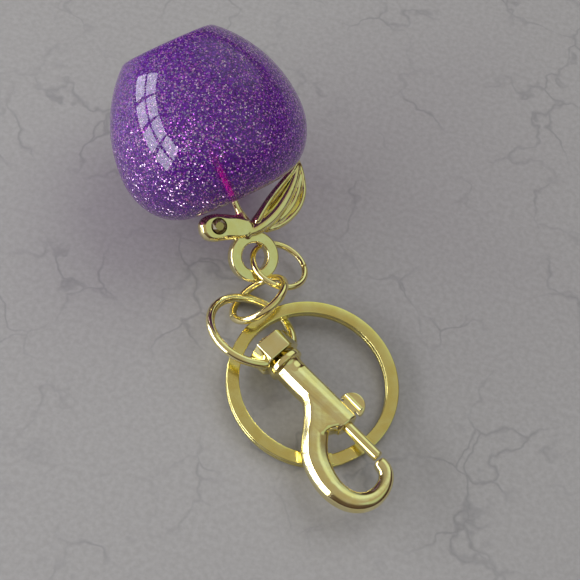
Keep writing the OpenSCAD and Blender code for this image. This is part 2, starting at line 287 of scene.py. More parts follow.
class Nodes:
    """The node tree of a material or a world, with short calls to add nodes and join them."""

    def __init__(self, owner, output):
        owner.use_nodes = True
        self.owner = owner
        self.tree = owner.node_tree
        self.tree.nodes.clear()
        self.output = self.add(output)

    def add(self, kind, inputs=None, **settings):
        node = self.tree.nodes.new(kind)
        for key, value in settings.items():
            setattr(node, key, value)
        for key, value in (inputs or {}).items():
            if isinstance(value, bpy.types.NodeSocket):
                self.tree.links.new(value, node.inputs[key])
            else:
                node.inputs[key].default_value = value
        return node

    def math(self, operation, a, b=0.0, c=0.0):
        return self.add("ShaderNodeMath", {0: a, 1: b, 2: c}, operation=operation).outputs[0]

    def vector(self, operation, a, b=(0.0, 0.0, 0.0)):
        """A vector operation, which gives a number for a dot product and a vector for the rest."""
        node = self.add("ShaderNodeVectorMath", {0: a, 1: b}, operation=operation)
        return node.outputs["Value" if operation == "DOT_PRODUCT" else "Vector"]

    def scaled(self, vector, scale):
        return self.add("ShaderNodeVectorMath", {0: vector, "Scale": scale}, operation="SCALE").outputs[0]

    def smooth(self, value, start, full):
        """Rises from 0 at start to 1 at full."""
        node = self.add("ShaderNodeMapRange", {"Value": value, "From Min": start, "From Max": full},
                        interpolation_type="SMOOTHSTEP")
        return node.outputs["Result"]

    def ramp(self, factor, stops):
        """A colour ramp, from stops of (position, colour)."""
        node = self.add("ShaderNodeValToRGB", {"Fac": factor})
        elements = node.color_ramp.elements
        while len(elements) < len(stops):
            elements.new(0.5)
        for element, (position, colour) in zip(elements, stops):
            element.position = position
            element.color = opaque(colour)
        return node.outputs["Color"]

    def mix(self, factor, a, b):
        return self.add("ShaderNodeMix", {0: factor, 6: a, 7: b}, data_type="RGBA").outputs[2]

    def place(self):
        return self.add("ShaderNodeTexCoord").outputs["Object"]

    def normal(self):
        return self.add("ShaderNodeNewGeometry").outputs["Normal"]

    def noise(self, scale, detail=2.0):
        node = self.add("ShaderNodeTexNoise", {"Vector": self.place(), "Scale": scale, "Detail": detail})
        return node.outputs["Fac"]

    def bump(self, height, strength, distance, **under):
        """A bumped normal. Another bump can be passed as Normal."""
        inputs = {"Height": height, "Strength": strength, "Distance": distance, **under}
        return self.add("ShaderNodeBump", inputs).outputs[0]

    def principled(self, inputs):
        return self.add("ShaderNodeBsdfPrincipled", inputs).outputs[0]

    def blend(self, factor, a, b):
        return self.add("ShaderNodeMixShader", {0: factor, 1: a, 2: b}).outputs[0]

    def finish(self, shader):
        self.tree.links.new(shader, self.output.inputs["Surface"])
        return self.owner


def new_material(name):
    return Nodes(bpy.data.materials.new(name), "ShaderNodeOutputMaterial")


def opaque(colour):
    return (*colour, 1.0)


def plated(name, bright, deep, roughness, waviness):
    """Gold plating: colour drifts between two golds, sharp edges get a painted highlight, the polish varies.
    """
    m = new_material(name)
    drift = m.noise(420, 3)
    fine = m.noise(6500, 4)
    colour = m.mix(m.ramp(drift, [(0.38, BLACK), (0.62, WHITE)]), opaque(deep), opaque(bright))
    # Painted highlight: sharp convex edges are mixed towards a paler gold, for the light their rounded edges
    # catch.
    pointiness = m.add("ShaderNodeNewGeometry").outputs["Pointiness"]
    edge = m.ramp(pointiness, [(0.44, BLACK), (0.5, (0.35, 0.35, 0.35)), (0.58, WHITE)])
    highlight_gold = [min(1.0, c * 1.05 + 0.04) for c in bright]
    colour = m.mix(m.math("MULTIPLY", edge, 0.5), colour, opaque(highlight_gold))
    spread = 0.09
    rough = m.math("MULTIPLY_ADD", fine, spread, roughness - spread / 2)
    waves = m.bump(drift, waviness, 0.00006)
    grain = m.bump(fine, 0.12, 0.00001, Normal=waves)
    return m.finish(m.principled({
        "Base Color": colour, "Metallic": 1.0, "Roughness": rough, "Normal": grain}))


def glitter_resin():
    """Violet resin full of fine flakes under a clear polished skin, a little see-through."""
    m = new_material("violet_glitter_resin")
    place = m.place()

    def flakes(scale, size):
        """Cells of random colour, its three parts, and 1 inside a flake."""
        cell = m.add("ShaderNodeTexVoronoi", {"Vector": place, "Scale": scale})
        parts = m.add("ShaderNodeSeparateColor", {"Color": cell.outputs["Color"]})
        shape = m.math("LESS_THAN", cell.outputs["Distance"], size)
        return cell.outputs["Color"], parts.outputs, shape

    tilt, chance, shape = flakes(4300, 0.55)
    _, deep_chance, deep_shape = flakes(2300, 0.42)
    violet = m.ramp(chance[0], [(0.0, (0.018, 0.0, 0.066)), (0.5, (0.056, 0.0, 0.168)),
                                (0.8, (0.14, 0.004, 0.36))])
    deep = m.math("MULTIPLY", deep_shape, m.math("GREATER_THAN", deep_chance[1], 0.82))
    violet = m.mix(m.math("MULTIPLY", deep, 0.75), violet, opaque((0.34, 0.05, 0.5)))
    flake = m.math("MULTIPLY", shape, m.math("GREATER_THAN", chance[1], 0.74))
    flake_colour = m.ramp(chance[2], [(0.0, (0.6, 0.06, 0.85)), (0.45, (1.0, 0.3, 1.0)),
                                      (0.8, (1.0, 0.75, 1.0))])
    colour = m.mix(flake, violet, flake_colour)

    # Near the silhouette the flakes fade, and a painted dark line, then a painted pale rim, stand in for the
    # refraction line and the light through the thin edge
    facing = m.add("ShaderNodeLayerWeight", {"Blend": 0.5}).outputs["Facing"]
    pale_rim_light = m.ramp(facing, [(0.83, BLACK), (0.92, WHITE)])
    line = m.ramp(facing, [(0.76, BLACK), (0.79, WHITE), (0.815, BLACK)])
    # Painted shade, then painted light: the dark line and the pale rim are mixed into the colour
    colour = m.mix(m.math("MULTIPLY", line, 0.5), colour, opaque((0.03, 0.002, 0.07)))
    colour = m.mix(m.math("MULTIPLY", pale_rim_light, 0.55), colour, opaque((0.17, 0.02, 0.36)))

    # Each flake leans its own way
    lean = m.scaled(m.vector("SUBTRACT", tilt, (0.5, 0.5, 0.5)), 1.5)
    leaning = m.vector("NORMALIZE", m.vector("ADD", m.normal(), lean))
    metal = m.math("MULTIPLY", flake, m.math("SUBTRACT", 1.0, pale_rim_light))
    surface = m.principled({
        "Base Color": colour, "Metallic": m.math("MULTIPLY", metal, 0.75), "Roughness": 0.28,
        "Normal": leaning, "Coat Weight": 1.0, "Coat Roughness": 0.015, "Coat IOR": 1.47,
        "Coat Normal": m.bump(m.noise(120, 1), 0.05, 0.0002)})
    clear = m.add("ShaderNodeBsdfTransparent", {"Color": opaque((0.75, 0.14, 0.85))})
    shadow = m.add("ShaderNodeLightPath").outputs["Is Shadow Ray"]
    through = m.math("MULTIPLY_ADD", shadow, 0.32, 0.18)
    through = m.math("MAXIMUM", through, m.math("MULTIPLY", peg_sleeve(m), 0.6))
    return m.finish(m.blend(through, surface, clear.outputs[0]))


def peg_sleeve(m):
    """1 where the line of sight passes close to the peg, whose drilled hole holds no glitter."""
    axis = tuple(FRUIT_Y)
    foot = tuple(FRUIT @ Vector((PEG_X, 0, 0)))
    sight = m.add("ShaderNodeNewGeometry").outputs["Incoming"]
    across = m.vector("NORMALIZE", m.vector("CROSS_PRODUCT", sight, axis))
    reach = m.vector("SUBTRACT", m.place(), foot)
    miss = m.math("ABSOLUTE", m.vector("DOT_PRODUCT", reach, across))
    along = m.vector("DOT_PRODUCT", reach, axis)
    return m.math("MULTIPLY", m.smooth(miss, 0.0017, 0.0003), m.smooth(along, 0.0125, 0.004))


def inside_resin(m):
    """1 past the fruit's stem end, where light reaches the piece only through the violet resin."""
    depth = m.vector("DOT_PRODUCT", m.place(), tuple(FRUIT_Y))
    return m.math("GREATER_THAN", depth, STEM_END.dot(FRUIT_Y) + 0.0004)


def peg_wire():
    """Gold wire. Inside the resin it carries the pink light that the glitter scatters onto it."""
    m = new_material("gold_plated_peg")
    beads = m.ramp(m.noise(1500), [(0.40, (0.2, 0.2, 0.2)), (0.58, WHITE)])
    fine = m.noise(6500, 3)
    pink = m.math("MULTIPLY", m.math("MULTIPLY", inside_resin(m), beads), 1.5)
    return m.finish(m.principled({
        "Base Color": m.mix(fine, opaque((0.90, 0.72, 0.28)), opaque((0.95, 0.84, 0.45))),
        "Metallic": 1.0, "Roughness": m.math("MULTIPLY_ADD", fine, 0.1, 0.1),
        "Emission Color": opaque((1.0, 0.06, 0.42)), "Emission Strength": pink}))


def clear_glue():
    """Cloudy clear glue. Inside the resin it has a faint painted maroon glow, for the light that reaches it
    through the violet resin.
    """
    m = new_material("clear_glue")
    cloud = m.mix(m.noise(2500, 3), opaque((0.75, 0.35, 0.7)), opaque((0.95, 0.7, 0.95)))
    # Painted glow: the maroon emission is switched on only inside the resin
    gloss = m.principled({
        "Base Color": cloud, "Roughness": 0.12, "Normal": m.bump(m.noise(1500), 0.3, 0.0001),
        "Coat Weight": 0.6, "Emission Color": opaque((0.6, 0.02, 0.3)),
        "Emission Strength": m.math("MULTIPLY", inside_resin(m), 0.25)})
    clear = m.add("ShaderNodeBsdfTransparent", {"Color": opaque((0.95, 0.7, 0.9))})
    return m.finish(m.blend(0.75, gloss, clear.outputs[0]))


def foiled_stone():
    """Each facet gets its own tone: the golds stand for the foil behind it, the palest facets are painted
    highlights and the darkest are painted shade.
    """
    m = new_material("foiled_stone")
    flat = m.add("ShaderNodeNewGeometry").outputs["True Normal"]
    facet = m.add("ShaderNodeTexWhiteNoise", {"Vector": m.vector("SNAP", flat, (0.02, 0.02, 0.02))})
    # Painted highlights and shade: the near-white and near-black stops; the golds are the foil
    facet_glint_and_tone = m.ramp(facet.outputs["Value"], [(0.0, (0.05, 0.03, 0.02)), (0.45, (0.35, 0.26, 0.06)),
                                           (0.8, (0.55, 0.45, 0.16)), (1.0, (0.95, 0.95, 0.9))])
    speck = m.mix(m.math("MULTIPLY", m.noise(4000), 0.3), facet_glint_and_tone, opaque((0.2, 0.14, 0.05)))
    return m.finish(m.principled({
        "Base Color": speck, "Metallic": 0.85, "Roughness": 0.06, "Coat Weight": 1.0, "Coat Roughness": 0.0}))


def spring_steel():
    """Bare wire, whose drawing marks change its tone and polish."""
    m = new_material("bare_spring_steel")
    drawn = m.noise(9000)
    return m.finish(m.principled({
        "Base Color": m.mix(drawn, opaque((0.4, 0.41, 0.43)), opaque((0.6, 0.6, 0.6))),
        "Metallic": 1.0, "Roughness": m.math("MULTIPLY_ADD", drawn, 0.2, 0.2)}))


def table_top():
    """A matt grey board with a fine grain and faint wandering creases, drawn darker as painted shade in their
    grooves.
    """
    m = new_material("table_top")
    grain = m.noise(1100, 5)
    cloud = m.noise(16, 3)
    wander = m.add("ShaderNodeTexNoise", {"Vector": m.place(), "Scale": 90.0, "Detail": 3.0})
    moved = m.vector("ADD", m.place(), m.scaled(wander.outputs["Color"], 0.02))
    cell = m.add("ShaderNodeTexVoronoi", {"Vector": moved, "Scale": 75.0}, feature="DISTANCE_TO_EDGE")
    crease_and_shade = m.ramp(cell.outputs["Distance"], [(0.0, WHITE), (0.045, BLACK)])
    patchy = m.ramp(m.noise(45), [(0.46, BLACK), (0.6, WHITE)])
    crease_and_shade = m.math("MULTIPLY", crease_and_shade, patchy)
    colour = m.mix(m.ramp(grain, [(0.35, BLACK), (0.65, WHITE)]), opaque((0.27, 0.258, 0.25)),
                   opaque((0.315, 0.302, 0.295)))
    colour = m.mix(m.math("MULTIPLY", cloud, 0.3), colour, opaque((0.34, 0.327, 0.318)))
    # Painted shade: the creases are darkened as well as bumped
    colour = m.mix(m.math("MULTIPLY", crease_and_shade, 0.55), colour, opaque((0.17, 0.165, 0.17)))
    height = m.math("SUBTRACT", grain, m.math("MULTIPLY", crease_and_shade, 0.6))
    return m.finish(m.principled({
        "Base Color": colour, "Roughness": 0.6, "Normal": m.bump(height, 0.12, 0.0002)}))


GOLD_CAST = plated("gold_plated_casting", (0.95, 0.86, 0.46), (0.92, 0.78, 0.33), 0.11, 0.4)
GOLD_WIRE = plated("gold_plated_wire", (0.95, 0.83, 0.42), (0.92, 0.76, 0.30), 0.12, 0.25)
GOLD_FLAT = plated("gold_plated_spring_steel", (0.88, 0.80, 0.32), (0.83, 0.70, 0.22), 0.18, 0.15)
RESIN = glitter_resin()
PEG_GOLD = peg_wire()
GLUE = clear_glue()
STONE = foiled_stone()
STEEL = spring_steel()


# ---------- resin fruit ----------

FRUIT_R = 16.9
STEM_FLAT_R = 8.4
FAR_FLAT_R = 8.2
WIDE_AT = 10.4
PEG_HOLE_R = 0.9
PEG_HOLE_DEPTH = 12.5
PEG_R = 0.5
PEG_IN_STEM = 2.2
PEG_IN_RESIN = 11.6
BEAD_H = 0.32


def about_peg(profile, sides=48):
    """Turned about the peg, along the fruit's Y, from points of (distance along Y, radius)."""
    verts, faces = lathe(profile, sides)
    return [(PEG_X - v[1], v[0], v[2]) for v in verts], faces


def resin_fruit():
    """A round shoulder, an arched flank and a softened edge at the poured face."""
    shoulder = [(WIDE_AT * (1 - math.sin(q)), STEM_FLAT_R + (FRUIT_R - STEM_FLAT_R) * math.cos(q))
                for q in (math.pi / 2 * (1 - i / 40) for i in range(41))]
    run = FRUIT_L - WIDE_AT
    drop = FRUIT_R - FAR_FLAT_R
    flank_r = (run * run + drop * drop) / (2 * drop)
    top = math.asin(run / flank_r)
    edge_r = 1.7
    last = top - edge_r / flank_r
    flank = [(WIDE_AT + flank_r * math.sin(q), FRUIT_R - flank_r * (1 - math.cos(q)))
             for q in (last * i / 40 for i in range(1, 41))]
    corner = fillet([flank[-1], (FRUIT_L, FAR_FLAT_R), (FRUIT_L, FAR_FLAT_R - edge_r * 1.4)], 1.6, 10)
    verts, faces = lathe([(0, 0)] + shoulder + flank + corner[1:] + [(FRUIT_L, 0)], 200)
    fruit = solid("resin_fruit", ([(-v[1], v[0], v[2]) for v in verts], faces))
    combine(fruit, solid("drill", about_peg([(-1, 0), (-1, PEG_HOLE_R), (PEG_HOLE_DEPTH, PEG_HOLE_R),
                                             (PEG_HOLE_DEPTH, 0)])), "DIFFERENCE")
    finish_piece(fruit, FRUIT, "charm", ["resin_body"], RESIN)


def glue():
    """The bead at the hole's mouth and the glue inside, less the room for the peg."""
    gap = 0.02
    hole_r = PEG_HOLE_R - gap
    hole_end = PEG_HOLE_DEPTH - gap
    bead = fillet([(-BEAD_H, 0.55), (-BEAD_H, 0.9), (-0.04, 1.4)], 0.3)
    piece = solid("peg_glue", about_peg([(-BEAD_H, 0)] + bead
                                        + [(-gap, hole_r), (hole_end, hole_r), (hole_end, 0)]))
    room_r = PEG_R + SEAT
    room_end = PEG_IN_RESIN + SEAT
    room = about_peg([(-1, 0), (-1, room_r), (room_end, room_r), (room_end, 0)])
    combine(piece, solid("room", room), "DIFFERENCE")
    finish_piece(piece, FRUIT, "charm", ["peg_adhesive"], GLUE)


def peg():
    """Wire with shallow grooves that give the glue a grip."""
    grooves = 22
    pitch = 0.5
    outline = [(-PEG_IN_STEM, 0), (-PEG_IN_STEM, PEG_R)]
    for i in range(grooves):
        y = 0.4 + i * pitch
        outline += [(y, PEG_R), (y + 0.12, PEG_R - 0.06), (y + 0.24, PEG_R)]
    outline += [(PEG_IN_RESIN - 0.1, PEG_R - 0.08), (PEG_IN_RESIN, PEG_R - 0.2), (PEG_IN_RESIN, 0)]
    piece = solid("stem_peg_wire", about_peg(outline, 32))
    finish_piece(piece, FRUIT, "charm", ["stem_peg"], PEG_GOLD)


# ---------- leaf stem ----------

LOBE = (-5.75, -3.2)
EYE = (-1.85, -10.8, -0.15)
STONE_R = 1.48


def rib(controls, steps=10, flat=1.0):
    """A tapering round bar through points of (x, y, z, radius). Flat stretches it along Z."""
    points = curve(controls, steps)
    path = [Vector(p[:3]) for p in points]
    radii = [p[3] for p in points]
    first = (path[0] - path[1]).normalized()
    last = (path[-1] - path[-2]).normalized()
    path = [path[0] + first * radii[0] * k for k in (0.85, 0.6)] + path
    path += [path[-1] + last * radii[-1] * k for k in (0.6, 0.85)]
    radii = [radii[0] * 0.45, radii[0] * 0.8] + radii + [radii[-1] * 0.8, radii[-1] * 0.45]
    return sweep([tuple(p) for p in path],
                 lambda i: [(u * radii[i], v * radii[i] * flat) for u, v in round_section(1, 16)])


def slab(outline, low, high, edge=0.35, steps=8):
    """A flat casting inside a smooth closed outline, with its edges broken."""
    points = curve(list(outline) + [outline[0]], steps)[:-1]
    middle = sum((Vector(p) for p in points), Vector((0, 0))) / len(points)
    rings = []
    for z, inset in ((low, edge), (low + edge, 0), (high - edge, 0), (high - edge * 0.3, edge * 0.4),
                     (high, edge)):
        ring = []
        for p in points:
            inward = middle - Vector(p)
            ring.append(tuple(Vector(p) + inward.normalized() * inset) + (z,))
        rings.append(ring)
    return skin(rings)


def leaf_stem():
    """The stone's lobe, the eye, the post for the peg and the ribbed leaf, cast as one."""
    lobe = [(-9.05, -3.0), (-8.55, -1.55), (-7.2, -0.75), (-5.4, -0.95), (-3.7, -1.75),
            (-2.0, -2.75), (-0.6, -3.9), (0.5, -5.3), (0.2, -6.6), (-1.4, -7.2),
            (-3.4, -6.7), (-5.4, -6.0), (-7.3, -5.4), (-8.6, -4.4)]
    eye_profile = fillet([(2.4, -1.1), (4.5, -1.1), (4.5, 1.1), (2.4, 1.1)], 0.42, closed=True)
    blade_floor = [(1.6, -5.3), (4.0, -3.5), (6.6, -2.3), (9.4, -1.2), (12.0, -0.1), (13.3, 1.0),
                   (13.1, -1.6), (12.2, -4.2), (10.4, -6.3), (7.6, -7.6), (4.6, -7.8), (2.2, -7.0)]
    shells = [
        slab(lobe, -1.5, 1.35, 0.85),
        turned_z(eye_profile, EYE, 120),
        rib([(-1.5, -4.4, -0.1, 1.0), (-1.3, -5.6, 0.1, 1.2), (-1.6, -7.0, 0, 1.15)], flat=1.1),
        about_peg([(-4.9, 0), (-4.9, 1.2), (-3.8, 1.0), (-2.8, 0.74), (-1.9, 0.6), (-0.36, 0.62),
                   (-0.36, 0)]),
        slab(blade_floor, -0.95, 0.3, 0.3),
        # the broad middle rib, from the fork to the leaf's tip
        rib([(-2.2, -6.3, 0.1, 1.0), (0.2, -6.6, 0.3, 1.15), (3.0, -6.25, 0.5, 1.2),
             (5.6, -5.35, 0.6, 1.15), (8.2, -3.9, 0.6, 1.05), (10.6, -2.1, 0.5, 0.85),
             (12.4, -0.3, 0.3, 0.65), (13.3, 0.9, 0.1, 0.4)]),
        # the leaf's upper edge, with its strip beside the slot
        rib([(1.2, -5.4, 0.1, 0.8), (3.0, -4.2, 0.35, 0.6), (5.6, -2.7, 0.5, 0.55),
             (8.4, -1.45, 0.5, 0.52), (11.2, -0.3, 0.35, 0.48), (13.2, 0.9, 0.1, 0.4)], flat=1.7),
        rib([(3.6, -4.45, 0.2, 0.36), (6.0, -3.15, 0.4, 0.4), (8.6, -1.95, 0.45, 0.38),
             (11.0, -0.85, 0.35, 0.34)], flat=1.3),
        # a long rib of the lower blade, and its edge
        rib([(3.2, -7.0, -0.1, 0.7), (6.0, -6.7, 0.15, 0.75), (8.8, -5.5, 0.25, 0.7),
             (11.0, -3.7, 0.25, 0.55), (12.5, -1.6, 0.2, 0.45)]),
        rib([(2.6, -7.6, -0.3, 0.6), (5.0, -7.9, -0.1, 0.62), (7.6, -7.5, 0, 0.6),
             (10.0, -6.4, 0.05, 0.56), (11.8, -4.5, 0.1, 0.52), (12.7, -2.3, 0.1, 0.48),
             (13.2, -0.4, 0.05, 0.42), (13.3, 0.9, 0, 0.35)], flat=1.4),
    ]
    piece = solid("leaf_stem_casting", *shells)
    melt(piece, 0.11, 5)
    # the long slot beside the upper edge, and the short one near the tip
    slots = (
        [(3.6, -4.95), (6.4, -3.65), (9.2, -2.2), (10.6, -1.25), (8.6, -2.2), (5.8, -3.55)],
        [(9.9, -5.5), (11.1, -4.5), (11.9, -3.3), (11.2, -3.9)],
    )
    for outline in slots:
        combine(piece, solid("slot", slab(outline, -2, 2.5, 0.02, 6)), "DIFFERENCE")
    cup_r = STONE_R + 0.02
    cup = [(POINT_R, 0.35), (cup_r - 0.05, 0.6), (cup_r, 2.2), (POINT_R, 2.2)]
    combine(piece, solid("cup", turned_z(cup, (LOBE[0], LOBE[1], 0), 48)), "DIFFERENCE")
    drill_r = PEG_R + SEAT
    drill_end = -PEG_IN_STEM - SEAT
    drill = about_peg([(drill_end, 0), (drill_end, drill_r), (1, drill_r), (1, 0)])
    combine(piece, solid("drill", drill), "DIFFERENCE")
    finish_piece(piece, FRUIT, "charm", ["leaf_stem"], GOLD_CAST, 50)


def stone():
    """Round brilliant: table, crown and pavilion facets, eight to a row."""
    sides = 8
    girdle_z = 1.15
    # (radius, height over the girdle, turn as a part of a facet)
    rows = [(0.78, 0.5, 0.5), (1.22, 0.28, 0.0), (STONE_R, 0.02, 0.5), (STONE_R, -0.12, 0.5),
            (0.75, -0.75, 0.0), (POINT_R, -1.27, 0.0)]
    rings = []
    for r, z, shift in rows:
        angles = [2 * math.pi * (k + shift) / sides for k in range(sides)]
        rings.append([(LOBE[0] + r * math.cos(a), LOBE[1] + r * math.sin(a), girdle_z + z) for a in angles])
    verts = [p for ring in rings for p in ring]
    faces = [tuple(range(sides))]
    for i in range(len(rings) - 1):
        for k in range(sides):
            m = (k + 1) % sides
            a, b, c, d = i * sides + k, i * sides + m, (i + 1) * sides + m, (i + 1) * sides + k
            faces += [(a, b, d), (b, c, d)]
    faces.append(tuple((len(rings) - 1) * sides + k for k in range(sides)))
    piece = solid("rhinestone_facets", (verts, faces))
    finish_piece(piece, FRUIT, "charm", ["rhinestone"], STONE, 5)


# ---------- rings ----------

def ring_frame(node, lean, towards):
    """The frame of a jump ring, from its box's centre and the way its axis leans, in degrees."""
    turn = Matrix.Rotation(math.radians(towards), 4, "Z") @ Matrix.Rotation(math.radians(lean), 4, "Y")
    return Matrix.Translation(box_centre(node)) @ turn @ Matrix.Scale(MM, 4)


def jump_ring(node, body, place, outer_d, wire_d, cut_at):
    """A ring of round wire, sawn through at an angle about its axis, with broken edges at the cut."""
    radius = (outer_d - wire_d) / 2
    half_cut = math.degrees(0.07 / radius)
    steps = 160
    path = [(x, y, 0) for x, y in arc((0, 0), radius, cut_at + half_cut, cut_at + 360 - half_cut, steps)]

    def section(i):
        broken_edge = 0.86 if i in (0, steps) else 1.0
        return round_section(wire_d / 2 * broken_edge, 28)

    piece = solid(node + "_wire", sweep(path, section))
    finish_piece(piece, place, body, [node], GOLD_WIRE, 50)


RING_OD = 30.0
BAND_W = 2.2
BAND_T = 1.8
TURN_T = 0.87
CUT_END = 298
STEP_END = 317


def split_ring():
    """One band wound twice: the upper turn, the step down, then the lower turn."""
    high = (BAND_T - TURN_T) / 2
    mid_r = (RING_OD - BAND_W) / 2
    first = CUT_END - 1
    last = STEP_END + 1 - 720
    steps = 520
    path = []
    for i in range(steps + 1):
        angle = first + (last - first) * i / steps
        t = (STEP_END - 360 - angle) / (STEP_END - CUT_END)
        t = max(0.0, min(1.0, t))
        level = high * (1 - 2 * (t * t * (3 - 2 * t)))
        a = math.radians(angle)
        path.append((mid_r * math.cos(a), mid_r * math.sin(a), level))
    half_w = BAND_W / 2
    half_t = TURN_T / 2
    corners = [(-half_w, -half_t), (half_w, -half_t), (half_w, half_t), (-half_w, half_t)]
    outline = fillet(corners, 0.24, 5, closed=True)

    def section(i):
        shrink = 0.93 if i in (0, steps) else 1.0
        return [(u * shrink, v * shrink) for u, v in outline]

    piece = solid("split_ring_band", sweep(path, section))
    finish_piece(piece, RING, "split_ring", ["key_ring"], GOLD_FLAT, 40)


# ---------- swivel ----------

LOOP_R = 7.55
LOOP_BACK = 5.3
LOOP_WIRE_R = 0.78
COLLAR_R = 4.1
COLLAR_BACK = -1.6
COLLAR_FRONT = 2.1
RIVET_R = 0.9
RIVET_END = 4.6


def swivel_eye():
    """A six-sided collar, drilled and recessed for the rivet, with its wire loop."""
    rings = []
    for x, r in fillet([(COLLAR_BACK, COLLAR_R - 0.4), (COLLAR_BACK, COLLAR_R), (COLLAR_FRONT, COLLAR_R),
                        (COLLAR_FRONT, COLLAR_R - 0.4)], 0.22, 3):
        outline = [(r * math.sin(a), r * math.cos(a)) for a in (math.pi / 3 * k for k in range(6))]
        rings.append([(x, y, z) for y, z in fillet(outline, 0.16, 2, closed=True)])
    collar = solid("swivel_eye_casting", skin(rings))
    drill_r = RIVET_R + SLIP
    drill = lathe([(COLLAR_BACK - 1, 0), (COLLAR_BACK - 1, drill_r), (COLLAR_FRONT + 1, drill_r),
                   (COLLAR_FRONT + 1, 0)])
    combine(collar, solid("drill", drill), "DIFFERENCE")
    floor = COLLAR_FRONT - 1.4
    mouth = COLLAR_FRONT + 0.05
    recess = lathe([(floor, 0), (floor, 2.0), (mouth, 2.95), (mouth, 0)])
    combine(collar, solid("recess", recess), "DIFFERENCE")
    arc_points = arc((-LOOP_BACK, 0), LOOP_R, 30, 330, 150)
    first = arc_points[0]
    turn_in = [(first[0] + 0.1, 2.55), (first[0] + 0.16, 3.0), (first[0] + 0.12, 3.4)]
    path = turn_in + arc_points + [(x, -y) for x, y in reversed(turn_in)]
    count = len(path)

    def section(i):
        near_end = max(0.0, 1 - min(i, count - 1 - i) / 16)
        return round_section(LOOP_WIRE_R * (1 + 0.3 * near_end * near_end), 28)

    loop = solid("loop", sweep([(x, y, 0) for x, y in path], section))
    combine(collar, loop, "UNION")
    finish_piece(collar, SWIVEL, "swivel", ["swivel_eye"], GOLD_CAST, 32)


def swivel_rivet():
    """A domed head behind the collar, and the post that runs into the barrel."""
    back = COLLAR_BACK - SLIP
    top = back - 0.9
    head = fillet([(top, 0), (top, 1.25), (back - 0.45, 1.68), (back, 1.7), (back, RIVET_R)], 0.3)
    piece = solid("swivel_rivet_post", lathe(head + [(RIVET_END, RIVET_R), (RIVET_END, 0)], 64))
    finish_piece(piece, HOOK, "hook", ["swivel_rivet"], GOLD_WIRE)


# ---------- hook ----------

BARREL_END = 18.5
SPRING_ROOM_FROM = 4.8
PIN_R = 1.0
PIN_TAIL = 14.2
PIN_TIP = 25.9
PIN_TRAVEL = 6.4
NECK_FROM = 14.9
NECK_L = 2.7
NECK_T = 1.2
# The hook's middle line and width, from the flange round to the nose: (x, y, width)
HOOK_LINE = [(9.6, -0.75, 3.2), (11.6, -1.35, 3.7), (13.4, -2.45, 4.2), (15.1, -4.1, 4.4),
             (17.3, -6.6, 4.45), (19.1, -8.1, 4.4), (21.0, -9.0, 4.2), (23.4, -9.65, 3.95),
             (25.7, -9.75, 3.65), (27.9, -9.2, 3.4), (29.5, -8.0, 3.15), (30.4, -6.3, 2.95),
             (30.5, -4.3, 2.75), (29.8, -2.3, 2.55), (28.4, -0.9, 2.4), (26.35, -0.5, 2.25)]


def bevelled(width, thick):
    """The hook's section: a flat crest, a broad bevel on the outer side and a shallow one inside."""
    w = width / 2
    t = thick / 2
    outer = w * 0.5
    outline = [(-w, -t + outer), (-w + outer, -t), (w * 0.25, -t), (w * 0.92, -t * 0.66), (w, -t * 0.4),
               (w, t * 0.4), (w * 0.92, t * 0.66), (w * 0.25, t), (-w + outer, t), (-w, t - outer)]
    return fillet(outline, 0.3, 3, closed=True)


def hook_casting():
    """Flange, barrel, web and hook, cast as one, then bored and slotted."""
    flange = fillet([(2.7, 0), (2.7, 3.3), (3.9, 3.3), (3.95, 2.7), (4.6, 2.4), (6.0, 2.3),
                     (6.0, 0)], 0.36)
    # The barrel is a little fuller on the hook's side near the flange
    barrel_line = curve([(3.5, -0.25, 4.75), (8.0, -0.3, 4.8), (12.5, -0.15, 4.6), (18.3, 0.0, 4.3)], 10)
    barrel_line.append((BARREL_END, 0.0, 3.9))
    barrel = sweep([(x, y, 0) for x, y, w in barrel_line],
                   lambda i: bevelled(barrel_line[i][2], barrel_line[i][2] - 0.35))
    line = curve(HOOK_LINE, 8)
    last = len(line) - 1

    def section(i):
        width = line[i][2]
        cap = (0.62, 0.86, 0.96)[last - i] if last - i < 3 else 1.0
        return [(u * cap, v * cap) for u, v in bevelled(width, min(3.7, width * 0.8 + 0.7))]

    web = [(9.5, 0.0), (9.8, -1.7), (11.6, -2.6), (13.4, -3.9), (15.0, -5.6), (17.3, -5.2), (17.4, -3.2),
           (18.1, -1.5), (17.8, 0.0)]
    piece = solid("hook_casting", lathe(flange, 112), barrel,
                  sweep([(x, y, 0) for x, y, w in line], section), slab(web, -1.85, 1.85, 0.75))
    melt(piece, 0.12, 6)
    rivet_hole_r = RIVET_R + SEAT
    pin_hole_r = PIN_R + SLIP
    mouth = BARREL_END + 1
    bore = lathe([(2, 0), (2, rivet_hole_r), (SPRING_ROOM_FROM, rivet_hole_r),
                  (SPRING_ROOM_FROM, pin_hole_r), (mouth, pin_hole_r), (mouth, 0)], 64)
    combine(piece, solid("bore", bore), "DIFFERENCE")
    half_slot = NECK_T / 2 + SLIP
    slot = block("slot", (NECK_FROM - PIN_TRAVEL - 0.1, 0, -half_slot),
                 (NECK_FROM + NECK_L + 0.1, 3.8, half_slot))
    slot.data.transform(Matrix.Rotation(TAB_ROLL, 4, "X"))
    combine(piece, slot, "DIFFERENCE")
    finish_piece(piece, HOOK, "hook", ["hook_body"], GOLD_CAST, 42)


def sliding_pin():
    outline = fillet([(PIN_TAIL, 0), (PIN_TAIL, PIN_R), (PIN_TIP, PIN_R), (PIN_TIP, 0)], 0.35)
    piece = solid("sliding_pin", lathe(outline, 64))
    finish_piece(piece, HOOK, "pin", ["plunger"], GOLD_WIRE)


